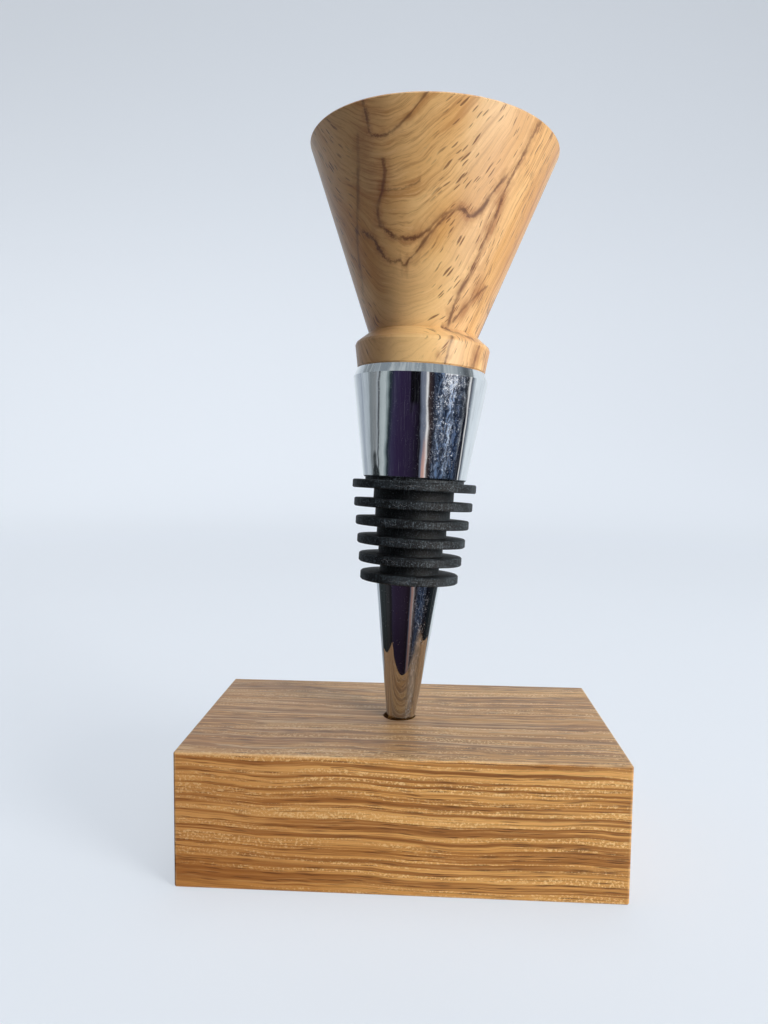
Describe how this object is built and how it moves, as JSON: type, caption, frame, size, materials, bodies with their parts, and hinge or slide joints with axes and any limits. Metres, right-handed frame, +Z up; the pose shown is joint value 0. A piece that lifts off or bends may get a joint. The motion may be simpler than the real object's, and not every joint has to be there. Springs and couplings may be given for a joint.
{
  "type": "wooden bottle stopper with stand block",
  "caption": "Turned wooden cone handle on a chrome bottle stopper with a finned rubber seal, leaning in the drilled hole of its oak stand block.",
  "frame": {"origin": "middle of the stand block's bottom face, on the table", "axes": "+X to the right along the block's long front face, +Y from its front to its back, +Z up"},
  "size_m": [0.076, 0.0497, 0.1316],
  "materials": {
    "handle_wood": "spalted beech, satin",
    "chrome": "polished plating, a little dusty",
    "rubber": "matte, dusty",
    "stud_steel": "plain",
    "oak": "sawn and sanded oak, satin"
  },
  "bodies": {
    "root": {"handle": "handle_wood", "stopper_body": "chrome", "seal_sleeve": "rubber", "threaded_stud": "stud_steel", "stand_block": "oak"}
  },
  "joints": []
}
